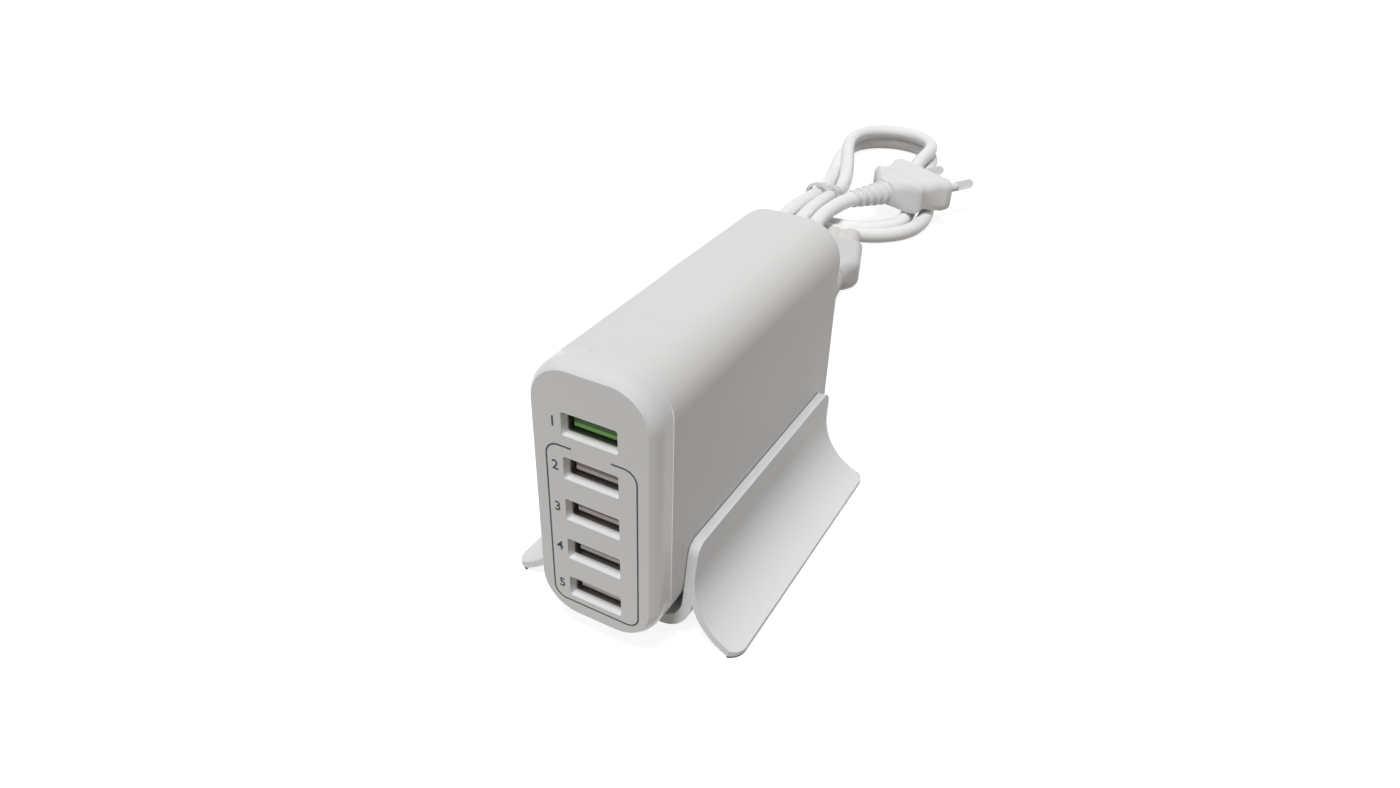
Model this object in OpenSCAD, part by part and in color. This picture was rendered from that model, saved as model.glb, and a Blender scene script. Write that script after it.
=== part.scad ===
// Five-port desktop USB charger in its cradle, with its mains lead in a tied hank behind it.
// Millimetres, +Z up. The origin is on the table under the middle of the charger, and the ports face -Y.

/* [Body] */
// Width of the charger
body_w = 29.6; // [28.4:0.2:33]
// Height of the charger
body_h = 64.8; // [64:0.2:72]
// Depth, from the front face to the rear wall
body_d = 90; // [88:1:104]
// Radius of the four long corners
corner_r = 10; // [8.6:0.2:11]
// Wall of the housing and its rear
housing_wall = 2.0; // [1.6:0.1:2.3]
// Radius of the housing's rear edge
rear_edge_r = 1.2; // [0.8:0.1:1.8]

/* [Front bezel] */
// Depth of the gloss bezel, from the face to the seam
bezel_depth = 6.6; // [6:0.2:9]
// Thickness of the flat front plate
plate_t = 2.2; // [1.8:0.1:2.6]
// Radius of the arc between the flat face and the sides
rim_r = 5.0; // [3:0.25:6]
// Open line between bezel and housing
seam_gap = 0.15; // [0.1:0.05:0.3]
// Length of the lip that enters the housing
lip_len = 3.0; // [2:0.25:4]

/* [Ports] */
// Number of ports
port_count = 5; // [1:1:5]
// Distance between ports
port_pitch = 10.6; // [9.8:0.1:10.8]
// Width of a port's opening
port_w = 13.0; // [12.9:0.1:13.4]
// Height of a port's opening
port_h = 5.5; // [5.4:0.1:5.8]
// Height of the top port's middle above the middle of the charger
top_port_up = 18.8; // [18:0.2:21]
// Depth of a socket
socket_len = 14; // [12:0.5:16]
// Width and height inside a socket's shell
socket_w = 12.5; // [12.4:0.05:12.6]
socket_h = 5.12; // [5.0:0.02:5.2]
// Sheet of a socket's shell
shell_t = 0.3; // [0.25:0.05:0.35]

/* [Cradle] */
// Distance of the charger's underside from the table
body_lift = 4.6; // [4.4:0.1:6]
// Height of the wings' top edge
wing_top = 24.4; // [22:0.2:28]
// Thickness of the trough's walls
trough_t = 2.3; // [1.8:0.1:2.6]
// Side gap between charger and trough
trough_gap = 0.2; // [0.1:0.05:0.3]
// Width over both feet
foot_span = 60; // [58:1:66]
// Thickness of the wings' sheet
wing_t = 1.5; // [1.2:0.1:2]
// Radius of the wings' hollow outer side
wing_r = 15.3; // [14.8:0.1:16]
// Thickness of the anti-slip strips
strip_t = 0.8; // [0.6:0.1:1.2]

/* [Boards] */
// Thickness of both circuit boards
board_t = 1.6; // [1:0.1:1.8]

/* [Mains lead] */
// Diameter of the cord
cord_d = 6.2; // [5.6:0.1:6.4]
// Thickness of the connector's grip
grip_t = 11.6; // [10:0.2:12.4]
// Width of the plug's face
plug_w = 35.3; // [33:0.1:36]
// Thickness of the plug's face
plug_t = 13.7; // [12:0.1:14.6]

/* [Hidden] */
$fn = 64;

// Overlap of a cut past the surface that it opens
cut = 1;
body_mid = body_lift + body_h / 2;
face = body_d / 2;
seam = face - bezel_depth;
inner_w = body_w - 2 * housing_wall;
inner_h = body_h - 2 * housing_wall;
inner_r = corner_r - housing_wall;
// The bezel's lip fills a step that is half of the housing's wall deep
step_in = housing_wall / 2;
lip_gap = 0.1;
shell_w = socket_w + 2 * shell_t;
shell_h = socket_h + 2 * shell_t;
socket_front = face - plate_t;
socket_back = socket_front - socket_len;
tongue_t = 1.84;
// The tongue stands below the middle of a port, with its contacts on top
tongue_up = -1.05;
tongue_setback = 1.0;
contact_up = tongue_up + tongue_t / 2;
contact_w = 1.0;
contact_t = 0.2;
contact_x = [-3.5, -1.2, 1.2, 3.5];

// The charger is drawn face up, with its height along y, and then stood on edge
module upright() translate([0, 0, body_mid]) rotate([90, 0, 0]) children();

module rounded_rect(w, h, r) {
  square([w - 2 * r, h], center = true);
  square([w, h - 2 * r], center = true);
  for (x = [-1, 1], y = [-1, 1]) translate([x * (w / 2 - r), y * (h / 2 - r)]) circle(r);
}

// Half section of a slab's edge: a convex arc that leaves the front face at 45 degrees, and a rear radius
module edge_section(reach, z0, z1, front_r, back_r) {
  drop = front_r * sin(45);
  inset = front_r * (1 - cos(45));
  difference() {
    translate([0, z0]) square([reach, z1 - z0]);
    if (front_r > 0) difference() {
      translate([reach - inset, z1 - drop]) square([inset + cut, drop + cut]);
      translate([reach - front_r, z1 - drop]) circle(front_r);
    }
    if (back_r > 0) difference() {
      translate([reach - back_r, z0 - cut]) square([back_r + cut, back_r + cut]);
      translate([reach - back_r, z0 + back_r]) circle(back_r);
    }
  }
}

// Slab with round long corners whose front and rear edges follow edge_section all the way round
module edged_slab(w, h, r, z0, z1, front_r = 0, back_r = 0) {
  x = w / 2 - r;
  y = h / 2 - r;
  translate([-x, -y, z0]) cube([2 * x, 2 * y, z1 - z0]);
  for (q = [[x, y, 0], [-x, y, 90], [-x, -y, 180], [x, -y, 270]])
    translate([q[0], q[1], 0]) rotate([0, 0, q[2]])
      rotate_extrude(angle = 90) edge_section(r, z0, z1, front_r, back_r);
  for (a = [0, 180]) rotate([0, 0, a]) {
    translate([x, y, 0]) rotate([90, 0, 0]) linear_extrude(2 * y) edge_section(r, z0, z1, front_r, back_r);
    translate([-x, y, 0]) rotate([90, 0, 90]) linear_extrude(2 * x) edge_section(r, z0, z1, front_r, back_r);
  }
}

module slab(w, h, r, z0, z1) translate([0, 0, z0]) linear_extrude(z1 - z0) rounded_rect(w, h, r);

function port_y(i) = top_port_up - (i - 1) * port_pitch;
module at_port(i) translate([0, port_y(i), 0]) children();

/* Front bezel: rim, flat plate, port openings with a collar behind each, and the lip */
collar_t = 1.0;
collar_len = 1.5;
collar_gap = 0.1;
port_corner_r = 0.5;
module front_bezel() color([0.93, 0.93, 0.94]) upright() difference() {
  union() {
    difference() {
      edged_slab(body_w, body_h, corner_r, seam, face, rim_r);
      slab(inner_w, inner_h, inner_r, seam - cut, socket_front);
    }
    for (i = [1 : port_count]) at_port(i)
      slab(shell_w + 2 * collar_gap + 2 * collar_t, shell_h + 2 * collar_gap + 2 * collar_t,
           collar_t, socket_front - collar_len, socket_front);
    difference() {
      slab(body_w - 2 * (step_in + lip_gap), body_h - 2 * (step_in + lip_gap), corner_r - step_in - lip_gap,
           seam - lip_len, seam + cut);
      slab(inner_w, inner_h, inner_r, seam - lip_len - cut, seam + 2 * cut);
    }
  }
  for (i = [1 : port_count]) at_port(i) {
    slab(port_w, port_h, port_corner_r, socket_front - cut, face + cut);
    slab(shell_w + 2 * collar_gap, shell_h + 2 * collar_gap, port_corner_r,
         socket_front - collar_len - cut, socket_front);
  }
}

/* Main housing: a deep sleeve closed at the rear, with the step for the lip, the inlet's opening and rails */
inlet_y = -17;
inlet_w = 19.6;
inlet_h = 11.6;
inlet_r = 4;
inlet_gap = 0.1;
// The main board stands off the left wall, clear of the socket board in front and of the inlet behind
board_stand = 2.4;
board_clear = 1.2;
inlet_len = 16.5;
pin_tail = 2.0;
board_x = -inner_w / 2 + board_stand;
board_h = 54;
board_front = socket_back - board_t - board_clear;
board_back = -face + inlet_len + pin_tail + 0.5;
rail_t = 1.5;
rail_deep = 1.6;
rail_gap = 0.1;
// Each rail reaches into its wall
rail_h = housing_wall + 2 * rail_deep;
ledge_t = 2.0;
ledge_h = 12;
ledge_reach = 3.4;
socket_board_w = 22;
socket_board_h = 56;
module main_housing() color([0.87, 0.87, 0.87]) upright() difference() {
  union() {
    difference() {
      edged_slab(body_w, body_h, corner_r, -face, seam - seam_gap, 0, rear_edge_r);
      slab(inner_w, inner_h, inner_r, -face + housing_wall, seam + cut);
    }
    intersection() {
      slab(body_w - housing_wall, body_h - housing_wall, corner_r - housing_wall / 2,
           -face + cut, seam - lip_len - cut);
      union() {
        for (y = [-board_h / 2 + rail_deep - rail_h, board_h / 2 - rail_deep])
          translate([board_x - rail_t - rail_gap, y, board_back])
            cube([board_t + 2 * rail_gap + 2 * rail_t, rail_h, board_front - board_back]);
        for (x = [-inner_w / 2 - housing_wall, inner_w / 2 - ledge_reach])
          translate([x, port_y(port_count) - ledge_h / 2, socket_back - board_t - ledge_t])
            cube([ledge_reach + housing_wall, ledge_h, ledge_t]);
      }
    }
  }
  slab(body_w - 2 * step_in, body_h - 2 * step_in, corner_r - step_in, seam - lip_len, seam + cut);
  translate([board_x - rail_gap, -board_h / 2 - rail_gap, board_back - cut])
    cube([board_t + 2 * rail_gap, board_h + 2 * rail_gap, board_front - board_back + 2 * cut]);
  translate([0, inlet_y, 0])
    slab(inlet_w + 2 * inlet_gap, inlet_h + 2 * inlet_gap, inlet_r + inlet_gap,
         -face - cut, -face + housing_wall + cut);
}

/* Sockets */
module socket_shell(i) color([0.72, 0.73, 0.75]) upright() at_port(i) difference() {
  slab(shell_w, shell_h, 0.7, socket_back, socket_front);
  slab(socket_w, socket_h, 0.4, socket_back - cut, socket_front + cut);
  for (x = [-3.1, 3.1]) translate([x - 0.9, -shell_h, socket_back + 5]) cube([1.8, 2 * shell_h, 4.5]);
}

tongue_block = 4;
tongue_w = 11.2;
fit_gap = 0.05;
function tongue_colour(i) = i == 1 ? [0.38, 0.62, 0.25] : [0.78, 0.77, 0.75];
module socket_tongue(i) color(tongue_colour(i)) upright() at_port(i) difference() {
  union() {
    slab(socket_w - 2 * fit_gap, socket_h - 2 * fit_gap, 0.35, socket_back, socket_back + tongue_block);
    translate([-tongue_w / 2, tongue_up - tongue_t / 2, socket_back])
      cube([tongue_w, tongue_t, socket_len - tongue_setback]);
  }
  for (x = contact_x) translate([x - contact_w / 2 - fit_gap, contact_up, socket_back - cut])
    cube([contact_w + 2 * fit_gap, contact_t + fit_gap, tongue_block + 2 * cut]);
}

solder_len = 1.0;
contact_setback = 1.6;
module socket_contacts(i) color([0.83, 0.68, 0.35]) upright() at_port(i) for (x = contact_x)
  translate([x - contact_w / 2, contact_up, socket_back - board_t - solder_len])
    cube([contact_w, contact_t, socket_len + board_t + solder_len - contact_setback]);

/* Boards */
header_y = 10;
header_h = 14;
header_pins = 5;
header_pitch = 2.54;
header_pin = 0.64;
header_up = 1.5;
header_t = 2.5;
header_len = 4;
slot_gap = 0.15;
function header_pin_y(k) = header_y + header_h / 2 + (k - (header_pins - 1) / 2) * header_pitch;
header_x = board_x + board_t + header_up;
module socket_board() color([0.12, 0.36, 0.22]) upright() difference() {
  slab(socket_board_w, socket_board_h, 5, socket_back - board_t, socket_back);
  for (i = [1 : port_count], x = contact_x) at_port(i)
    translate([x - contact_w / 2 - slot_gap, contact_up - slot_gap, socket_back - board_t - cut])
      cube([contact_w + 2 * slot_gap, contact_t + 2 * slot_gap, board_t + 2 * cut]);
  for (k = [0 : header_pins - 1])
    translate([header_x - header_pin / 2 - slot_gap, header_pin_y(k) - header_pin / 2 - slot_gap,
               socket_back - board_t - cut])
      cube([header_pin + 2 * slot_gap, header_pin + 2 * slot_gap, board_t + 2 * cut]);
}

module main_board() color([0.12, 0.36, 0.22]) upright()
  translate([board_x, -board_h / 2, board_back]) cube([board_t, board_h, board_front - board_back]);

// What stands on the main board: local x up from the board, y and z as for the charger
module on_board(y, z) upright() translate([board_x + board_t, y, z]) children();
// Free height above the board, which the tall parts follow
part_room = inner_w / 2 - board_x - board_t;

module board_header() color([0.10, 0.10, 0.11]) upright() {
  translate([board_x + board_t, header_y, board_front - header_len]) cube([header_t, header_h, header_len]);
  for (k = [0 : header_pins - 1])
    translate([header_x - header_pin / 2, header_pin_y(k) - header_pin / 2, board_front])
      cube([header_pin, header_pin, socket_back - board_front]);
}

sheet_t = 0.4;
sheet_h = 40;
module insulating_sheet() color([0.90, 0.88, 0.80]) upright()
  translate([-inner_w / 2, -sheet_h / 2, board_back])
    cube([sheet_t, sheet_h, board_front - board_back - header_len]);

// The parts stand in rows from the inlet to the socket board, and the rows keep to their own end of the board
row_rear = board_back + 4.8;
row_front = board_front - 4.5;
part_gap = 0.7;

fuse_y = -9.5;
fuse_d = 8.4;
fuse_h = 8;
module fuse() color([0.20, 0.20, 0.22]) on_board(fuse_y, row_rear)
  rotate([0, 90, 0]) cylinder(h = fuse_h, d = fuse_d);

film_y = 1.6;
film_w = 13;
film_t = 9;
film_h = 12;
module suppression_capacitor() color([0.80, 0.66, 0.22]) on_board(film_y, row_rear)
  translate([0, -film_w / 2, -film_t / 2]) cube([film_h, film_w, film_t]);

choke_r = 7.5;
choke_h = 7;
choke_bore_r = 3.2;
choke_wire = 0.8;
choke_y = 17.5;
choke_z = board_back + choke_r + 0.5;
module choke_core() color([0.20, 0.22, 0.24]) on_board(choke_y, choke_z) rotate([0, 90, 0]) difference() {
  translate([0, 0, 1]) cylinder(h = choke_h, r = choke_r - choke_wire);
  translate([0, 0, 0]) cylinder(h = choke_h + 2, r = choke_bore_r + choke_wire);
}

module choke_windings() color([0.72, 0.38, 0.16]) on_board(choke_y, choke_z) rotate([0, 90, 0])
  for (a = [20, 200]) rotate([0, 0, a]) rotate_extrude(angle = 140) difference() {
    translate([choke_bore_r, 0]) square([choke_r - choke_bore_r, choke_h + 2]);
    translate([choke_bore_r + choke_wire, 1]) square([choke_r - choke_bore_r - 2 * choke_wire, choke_h]);
  }

can_bevel = 0.8;
can_foot = 0.6;
groove_up = 2;
groove_deep = 0.5;
// Can with a rolled groove near its base
module can(d, h) rotate([0, 90, 0]) rotate_extrude()
  polygon([[0, 0], [d / 2 - can_foot, 0], [d / 2, can_bevel], [d / 2, groove_up],
           [d / 2 - groove_deep, groove_up + groove_deep], [d / 2, groove_up + 2 * groove_deep],
           [d / 2, h - can_bevel], [d / 2 - can_bevel, h], [0, h]]);

input_d = 12.5;
input_h = part_room - 2.6;
input_y = -18.5;
module input_capacitors() color([0.16, 0.18, 0.30]) for (s = [-1, 1])
  on_board(input_y, (board_back + board_front) / 2 - 1 + s * (input_d + 0.5) / 2) can(input_d, input_h);

output_d = 8;
output_h = part_room - 7.6;
output_y = [-21, -12, -3];
module output_capacitors() color([0.14, 0.26, 0.22]) for (y = output_y)
  on_board(y, row_front) can(output_d, output_h);

core_w = 22;
core_d = 20;
core_h = part_room - 4.6;
core_leg = 4.5;
core_mid = 7;
core_up = 2;
core_window = (core_w - core_mid) / 2 - core_leg;
transformer_y = 0.5;
transformer_z = row_front - output_d / 2 - part_gap - core_d / 2;
// Two E cores closed face to face, with the winding round the middle leg
module transformer_core() color([0.25, 0.25, 0.27]) on_board(transformer_y, transformer_z) difference() {
  translate([core_up, -core_w / 2, -core_d / 2]) cube([core_h - 2 * core_up, core_w, core_d]);
  for (s = [-1, 1])
    translate([core_up - cut, s > 0 ? core_mid / 2 : -core_w / 2 + core_leg, -core_d / 2 + core_leg])
      cube([core_h, core_window, core_d - 2 * core_leg]);
}

winding_gap = 0.1;
winding_w = core_mid + 2 * core_window - 2 * winding_gap;
winding_d = core_d - 2 * core_leg - 2 * winding_gap;
module transformer_winding() color([0.85, 0.72, 0.25]) on_board(transformer_y, transformer_z) difference() {
  translate([0, -winding_w / 2, -winding_d / 2]) cube([core_h, winding_w, winding_d]);
  translate([core_up - winding_gap, -core_mid / 2 - winding_gap, -core_d])
    cube([core_h - 2 * core_up + 2 * winding_gap, core_mid + 2 * winding_gap, 2 * core_d]);
}

rectifier_y = -5;
rectifier_w = 14.6;
rectifier_h = 10.5;
rectifier_t = 3.6;
rectifier_bevel = 2.2;
// Midway between the film capacitor and the transformer, with one bevelled corner
rectifier_z = (row_rear + film_t / 2 + transformer_z - core_d / 2) / 2;
module rectifier() color([0.13, 0.13, 0.14]) on_board(rectifier_y, rectifier_z)
  translate([0, -rectifier_w / 2, -rectifier_t / 2]) rotate([90, 0, 90]) linear_extrude(rectifier_h)
    polygon([[0, 0], [rectifier_w, 0], [rectifier_w, rectifier_t], [rectifier_bevel, rectifier_t],
             [0, rectifier_t - rectifier_bevel]]);

sink_y = 21;
sink_w = 18;
sink_t = 2;
sink_h = part_room - 4.6;
sink_fin = 1.6;
// Midway between the choke and the header
sink_z = (choke_z + choke_r + board_front - header_len) / 2;
module heat_sink() color([0.75, 0.76, 0.78]) on_board(sink_y, sink_z) {
  translate([0, 0, -sink_w / 2]) cube([sink_h, sink_t, sink_w]);
  for (z = [-sink_w / 2, sink_w / 2 - sink_fin])
    translate([0, sink_t, z]) cube([sink_h - 4, sink_fin, sink_fin]);
}

transistor_t = 4.5;
transistor_w = 10;
transistor_h = 9;
tab_t = 1.3;
tab_h = 3.5;
leg_len = 4;
leg_w = 0.8;
leg_pitch = 2.54;
module power_transistor() color([0.12, 0.12, 0.13]) on_board(sink_y - transistor_t, sink_z) {
  translate([leg_len, 0, -transistor_w / 2]) cube([transistor_h, transistor_t, transistor_w]);
  translate([leg_len + transistor_h, transistor_t - tab_t, -transistor_w / 2])
    cube([tab_h, tab_t, transistor_w]);
  for (k = [-1 : 1]) translate([0, 1.8, k * leg_pitch - leg_w / 2]) cube([leg_len, 0.6, leg_w]);
}

/* Mains inlet, for a figure-8 connector */
lobe_d = 9.0;
lobe_pitch = 7.0;
waist_h = 7.4;
inlet_deep = 12;
inlet_flange = 1.6;
pin_pitch = 8.6;
pin_d = 2.36;
pin_gap = 0.02;
pin_setback = 1.0;
pin_len = inlet_len - pin_setback + pin_tail;
module figure_eight(d, pitch, waist) {
  square([pitch, waist], center = true);
  for (x = [-1, 1]) translate([x * pitch / 2, 0]) circle(d = d);
}

module mains_inlet() color([0.90, 0.90, 0.90]) upright() translate([0, inlet_y, 0]) difference() {
  union() {
    slab(inlet_w, inlet_h, inlet_r, -face, -face + inlet_len);
    slab(inlet_w + 3, inlet_h + 3, inlet_r, -face + housing_wall, -face + housing_wall + inlet_flange);
  }
  translate([0, 0, -face - cut]) linear_extrude(inlet_deep + cut) figure_eight(lobe_d, lobe_pitch, waist_h);
  for (x = [-1, 1]) translate([x * pin_pitch / 2, 0, -face])
    cylinder(h = inlet_len + cut, d = pin_d + 2 * pin_gap);
}

module inlet_pins() color([0.80, 0.80, 0.82]) upright() for (x = [-1, 1])
  translate([x * pin_pitch / 2, inlet_y, -face + pin_setback]) cylinder(h = pin_len, d = pin_d);

lead_d = 1.6;
lead_bend = 2;
// Each insulated lead leaves a pin's tail and turns to the main board; run is its length before the turn
module inlet_lead(x, run) {
  turn_x = x - lead_bend;
  translate([x, inlet_y, -face + inlet_len + pin_tail]) cylinder(h = run, d = lead_d);
  translate([turn_x, inlet_y, -face + inlet_len + pin_tail + run]) rotate([90, 0, 0])
    rotate_extrude(angle = 90) translate([lead_bend, 0]) circle(d = lead_d);
  translate([board_x + board_t, inlet_y, -face + inlet_len + pin_tail + run + lead_bend]) rotate([0, 90, 0])
    cylinder(h = turn_x - board_x - board_t, d = lead_d);
}
module inlet_leads() color([0.15, 0.25, 0.55]) upright() {
  inlet_lead(-pin_pitch / 2, 0.5);
  inlet_lead(pin_pitch / 2, 4.0);
}

/* Cradle: one sheet that makes the trough and sweeps out into two hollow wings */
trough_in = body_w / 2 + trough_gap;
trough_out = trough_in + trough_t;
trough_r = 7;
wing_mid_x = trough_out + wing_r;
wing_mid_z = 16.8;
end_lean = 4.2;
cradle_front = -31.2;
cradle_back = 41;
back_lean = 1.2;
end_r = 3.5;
foot_r = 4;
lean_angle = atan(end_lean / wing_top);
back_angle = atan(back_lean / wing_top);
arc_steps = 8;
function arc(x, y, r, a0, a1) = [for (k = [0 : arc_steps])
  let (a = a0 + (a1 - a0) * k / arc_steps) [x + r * cos(a), y + r * sin(a)]];

module trough_section() intersection() {
  difference() {
    translate([0, body_lift - trough_t + wing_top]) rounded_rect(2 * trough_out, 2 * wing_top, trough_r);
    translate([0, body_lift + wing_top]) rounded_rect(2 * trough_in, 2 * wing_top, trough_r - trough_t + 0.3);
  }
  translate([-trough_out, 0]) square([2 * trough_out, wing_top]);
}

module wing_section() intersection() {
  difference() {
    translate([wing_mid_x, wing_mid_z]) circle(wing_r + wing_t);
    translate([wing_mid_x, wing_mid_z]) circle(wing_r);
  }
  translate([trough_in + trough_t / 4, strip_t]) square([foot_span / 2 - trough_in, wing_mid_z - strip_t]);
}

end_mid_z = wing_top - end_r;
// Middle of a top corner's arc, which meets the leaning end line at its tangent point
front_mid_y = cradle_front - end_lean + end_r * cos(lean_angle)
  + (end_mid_z + end_r * sin(lean_angle)) * tan(lean_angle);
back_mid_y = cradle_back - back_lean - end_r * cos(back_angle)
  + (end_mid_z - end_r * sin(back_angle)) * tan(back_angle);

// Both ends lean: the front is longer at the foot, and the rear is longer at the top edge
module side_outline() polygon(concat(
  [[cradle_back - back_lean, -cut], [cradle_front - end_lean, -cut], [cradle_front - end_lean, 0]],
  arc(front_mid_y, end_mid_z, end_r, 180 - lean_angle, 90),
  arc(back_mid_y, end_mid_z, end_r, 90, -back_angle),
  [[cradle_back - back_lean, 0]]));

// Depth over both leaning ends
cradle_depth = cradle_back - cradle_front + end_lean;
module foot_plan(inset) translate([0, cradle_back - cradle_depth / 2, -cut])
  linear_extrude(wing_top + 2 * cut) rounded_rect(foot_span - 2 * inset, cradle_depth - 2 * inset, foot_r);

module stand() color([0.91, 0.92, 0.93]) intersection() {
  translate([0, cradle_back + cut, 0]) rotate([90, 0, 0]) linear_extrude(cradle_depth + 2 * cut) {
    trough_section();
    wing_section();
    mirror([1, 0]) wing_section();
  }
  rotate([90, 0, 90]) translate([0, 0, -foot_span / 2 - cut])
    linear_extrude(foot_span + 2 * cut) side_outline();
  foot_plan(0);
}

strip_w = 3.0;
strip_inset = 0.25;
module foot_strip(s) color([0.20, 0.20, 0.21]) intersection() {
  foot_plan(strip_inset);
  translate([s > 0 ? foot_span / 2 - strip_w : -foot_span / 2, cradle_front - end_lean, 0])
    cube([strip_w, cradle_depth - back_lean - strip_inset, strip_t]);
}

/* Mains lead. The connector lies behind the charger, its nose away from the ports. */
relief_end = [-17, 122, grip_t / 2];
connector_turn = 15;
relief_len = 20;
relief_r0 = 3.6;
relief_r1 = 5.0;
relief_ribs = 5;
rib_cut = 0.8;
grip_len = 24;
grip_w = 20;
grip_r = 3.2;
grip_neck = 5.5;
grip_shoulder = 6;
grip_taper = 0.8;
nose_len = 15;
nose_d = 7.9;
nose_pitch = 6.7;
nose_waist = 6.6;
nose_bore = 2.7;
nose_root = 3;
// Local frame of a connector at a cord's end: +z away from the cord, x across, y up
module lying(place, turn) translate(place) rotate([0, 0, turn])
  rotate([-90, 0, 0]) rotate([0, 0, 180]) children();
module along_connector() lying(relief_end, connector_turn) children();

// Ribbed strain relief that widens from r0 to r1 over its length
module relief(r0, r1, length, ribs) {
  pitch = length / ribs;
  function rib_r(k) = r0 + (r1 - r0) * k / (ribs - 1);
  rotate_extrude() polygon(concat(
    [[0, 0]],
    [for (k = [0 : ribs - 1]) each [
      [rib_r(k), k * pitch], [rib_r(k), (k + 0.6) * pitch],
      [rib_r(k) - rib_cut, (k + 0.6) * pitch], [rib_r(k) - rib_cut, (k + 1) * pitch]]],
    [[r1, length], [r1, length + cut], [0, length + cut]]));
}

module connector_grip() color([0.88, 0.88, 0.87]) along_connector() difference() {
  union() {
    relief(relief_r0, relief_r1, relief_len, relief_ribs);
    intersection() {
      translate([0, 0, relief_len]) linear_extrude(grip_len) rounded_rect(grip_w, grip_t, grip_r);
      translate([0, grip_t, relief_len]) rotate([90, 0, 0]) linear_extrude(2 * grip_t)
        polygon([[-grip_neck, 0], [grip_neck, 0], [grip_w / 2, grip_shoulder],
                 [grip_w / 2 - grip_taper, grip_len], [-grip_w / 2 + grip_taper, grip_len],
                 [-grip_w / 2, grip_shoulder]]);
    }
  }
  translate([0, 0, relief_len + grip_len - nose_root]) linear_extrude(nose_root + cut)
    figure_eight(nose_d + 2 * fit_gap, nose_pitch, nose_waist + 2 * fit_gap);
}

module connector_nose() color([0.86, 0.84, 0.74]) along_connector() difference() {
  translate([0, 0, relief_len + grip_len - nose_root]) linear_extrude(nose_len + nose_root)
    figure_eight(nose_d, nose_pitch, nose_waist);
  for (x = [-1, 1]) translate([x * pin_pitch / 2, 0, relief_len + grip_len + nose_len - inlet_deep])
    cylinder(h = inlet_deep + cut, d = nose_bore);
}

plug_end = [-38, 201, 13.2];
plug_turn = -30;
// Control points of the cord's route, which lies in three near lobes and two far ones from connector to plug
cord_route = [
  relief_end, [-13.6, 109.3, 4.4], [-13.1, 95.4, 3.1], [-20.9, 82.8, 3.1], [-34.4, 78, 3.1],
  [-47.6, 82.3, 3.1], [-55.8, 94.3, 3.1], [-57, 112, 3.1], [-58, 130, 3.1], [-58.8, 149, 3.1],
  [-58.8, 166.9, 6.9], [-57.8, 183.9, 10.3], [-57, 201, 9.6], [-58, 218, 6.4], [-62.5, 240, 3.1],
  [-68.5, 261, 3.1], [-72.5, 279, 3.1], [-73.8, 296.5, 3.1], [-64.9, 309.3, 3.1], [-52, 313.3, 3.1],
  [-39.2, 309.1, 3.1], [-30.7, 296.6, 3.1], [-30, 278, 3.1], [-24.5, 260, 3.1], [-15.5, 240, 3.1],
  [-10.5, 219, 3.1], [-13, 202, 3.1], [-25.5, 190.5, 3.1], [-41.2, 187.7, 3.1], [-54, 186.2, 3.1],
  [-64, 178, 3.1], [-67.6, 163.3, 3.1], [-67.2, 145, 3.1], [-68, 127.1, 4.4], [-68.1, 108.6, 8.9],
  [-58.4, 98.5, 9.7], [-48.1, 96.4, 8.9], [-39.1, 99.4, 7.4], [-31.9, 108, 5.2], [-31.5, 122.5, 3.1],
  [-45, 140.2, 3.1], [-49.3, 155.9, 3.8], [-51, 170, 7.3], [-51, 185.9, 9.8], [-50.4, 202, 9.8],
  [-51.4, 218, 6.8], [-55, 238, 3.3], [-61, 258, 5.7], [-70.1, 277.1, 9.7], [-71.4, 296, 9.6],
  [-62.6, 306.6, 9.6], [-52.4, 309.8, 9.6], [-41.3, 307.6, 9.6], [-31.2, 296.6, 9.6], [-31.9, 277.3, 9.6],
  [-31.5, 261, 7.6], [-28.5, 246, 3.4], [-20.5, 230, 3.1], [-17.5, 213, 3.1], [-25.1, 199.1, 3.1],
  [-39, 193.8, 3.1], [-53.1, 193.5, 3.1], [-65.7, 188.7, 3.1], [-73.1, 177.6, 3.1], [-73.9, 161, 3.1],
  [-73.7, 143, 3.1], [-74.2, 125, 3.1], [-72.7, 106.8, 4.9], [-63.8, 92, 8.7], [-48, 85, 10],
  [-31.8, 89, 7.5], [-22.5, 102.5, 4], [-24.4, 119.9, 3.1], [-33.3, 135.1, 3.1], [-41.3, 148.6, 3.1],
  [-43.4, 163, 5.5], [-44, 177, 9], [-43.2, 189.5, 12.2], plug_end];
route_end = len(cord_route) - 1;
function control(i) = cord_route[max(0, min(i, route_end))];
// The cord's centre line is a cubic B-spline, taken at each control point and halfway to the next
function spline_knot(i) = i == 0 || i == route_end ? control(i)
  : (control(i - 1) + 4 * control(i) + control(i + 1)) / 6;
function spline_half(i) = (control(i - 1) + 23 * control(i) + 23 * control(i + 1) + control(i + 2)) / 48;
cord_line = [for (i = [0 : 2 * route_end]) i % 2 == 0 ? spline_knot(i / 2) : spline_half((i - 1) / 2)];
rings = len(cord_line);
cord_sides = 10;

function unit(v) = v / norm(v);
function line_dir(i) = unit(cord_line[min(i + 1, rings - 1)] - cord_line[max(i - 1, 0)]);
function side_dir(i) = unit(cross(line_dir(i), [0, 0, 1]));
function ring(i) = [for (k = [0 : cord_sides - 1])
  let (a = 360 * k / cord_sides, side = side_dir(i), up = cross(side, line_dir(i)))
    cord_line[i] + cord_d / 2 * (cos(a) * side + sin(a) * up)];
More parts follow.
